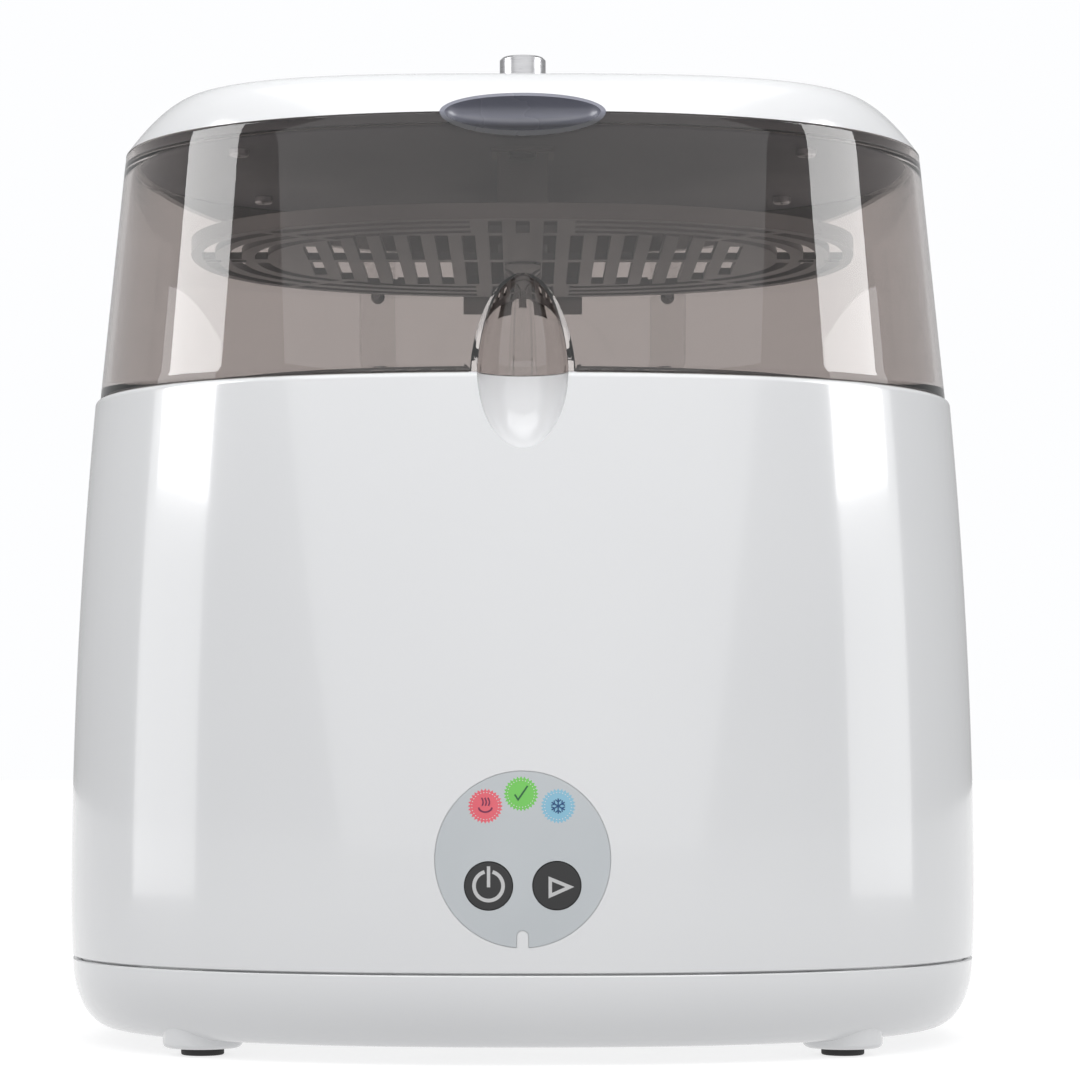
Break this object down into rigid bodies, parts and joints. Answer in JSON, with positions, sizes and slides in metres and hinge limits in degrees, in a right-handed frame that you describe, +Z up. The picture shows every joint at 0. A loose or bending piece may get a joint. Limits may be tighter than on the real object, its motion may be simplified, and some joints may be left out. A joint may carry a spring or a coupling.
{
  "type": "bottle sterilizer",
  "caption": "Electric steam bottle sterilizer: barrel-shaped white body on a base pan, smoked hinged lid with vent and finger scoop, accessory tray, bottle rack and heated tub.",
  "frame": {"origin": "centre of the base in plan, on the surface that the foot pads rest on", "axes": "+Z up, -Y the front with the panel and finger scoop, +X to the user's right"},
  "size_m": [0.3, 0.2359, 0.321],
  "materials": {
    "body_white": "gloss",
    "tub_white": "satin",
    "rack_white": "satin",
    "panel_grey": "satin",
    "smoke_clear": "gloss",
    "pocket_tint": "gloss",
    "button_black": "gloss",
    "lens_red": "gloss",
    "lens_green": "gloss",
    "lens_blue": "gloss",
    "vent_chrome": "satin",
    "duct_grey": "satin",
    "silicone": "matte",
    "plate_steel": "brushed",
    "zinc_steel": "satin",
    "element_metal": "matte",
    "control_brown": "satin",
    "fuse_cream": "matte",
    "board_green": "satin",
    "led_cream": "gloss",
    "part_black": "satin",
    "relay_blue": "gloss",
    "block_green": "satin",
    "rubber_black": "matte"
  },
  "bodies": {
    "base": {"body_shell": "body_white", "base_pan": "body_white", "hinge_bracket_left": "body_white", "hinge_bracket_right": "body_white", "inner_tub": "tub_white", "upper_tray": "rack_white", "bottle_rack": "rack_white", "tray_post": "rack_white", "panel_overlay": "panel_grey", "steam_lens": "lens_red", "ready_lens": "lens_green", "cooling_lens": "lens_blue", "plate_seal": "silicone", "heating_plate": "plate_steel", "plate_clamp_ring": "zinc_steel", "plate_nuts": "zinc_steel", "heating_element": "element_metal", "thermostat": "control_brown", "thermal_fuse": "fuse_cream", "control_board": "board_green", "power_board": "board_green", "indicator_leds": "led_cream", "tact_switches": "part_black", "relay": "relay_blue", "transformer": "part_black", "terminal_block": "block_green", "cord_gland": "rubber_black", "base_screws": "zinc_steel", "board_screws": "zinc_steel", "power_board_screws": "zinc_steel", "bracket_screws": "zinc_steel", "hinge_pin_left": "zinc_steel", "hinge_pin_right": "zinc_steel", "foot_pad_front_left": "rubber_black", "foot_pad_front_right": "rubber_black", "foot_pad_rear_left": "rubber_black", "foot_pad_rear_right": "rubber_black", "bottle_peg_front_left": "rack_white", "bottle_peg_front_middle": "rack_white", "bottle_peg_front_right": "rack_white", "bottle_peg_rear_left": "rack_white", "bottle_peg_rear_middle": "rack_white", "bottle_peg_rear_right": "rack_white"},
    "lid": {"lid_window": "smoke_clear", "lid_cap": "body_white", "grip_pocket": "pocket_tint", "vent_cap": "vent_chrome", "vent_duct": "duct_grey", "vent_seal": "silicone", "hinge_arm_left": "body_white", "hinge_arm_right": "body_white", "arm_screws": "zinc_steel", "cap_screws": "zinc_steel"},
    "power_key": {"power_button": "button_black"},
    "start_key": {"start_button": "button_black"}
  },
  "joints": [
    {"name": "lid_hinge", "type": "hinge", "parent": "base", "child": "lid", "pos_m": [0, 0.1124, 0.2152], "axis": [-1, 0, 0], "range_deg": [0, 95]},
    {"name": "power_press", "type": "slide", "parent": "base", "child": "power_key", "axis": [0, 1, 0], "range_m": [0, 0.0008], "stiffness_N_per_m": 500, "springref_m": -0.0004},
    {"name": "start_press", "type": "slide", "parent": "base", "child": "start_key", "axis": [0, 1, 0], "range_m": [0, 0.0008], "stiffness_N_per_m": 500, "springref_m": -0.0004}
  ]
}
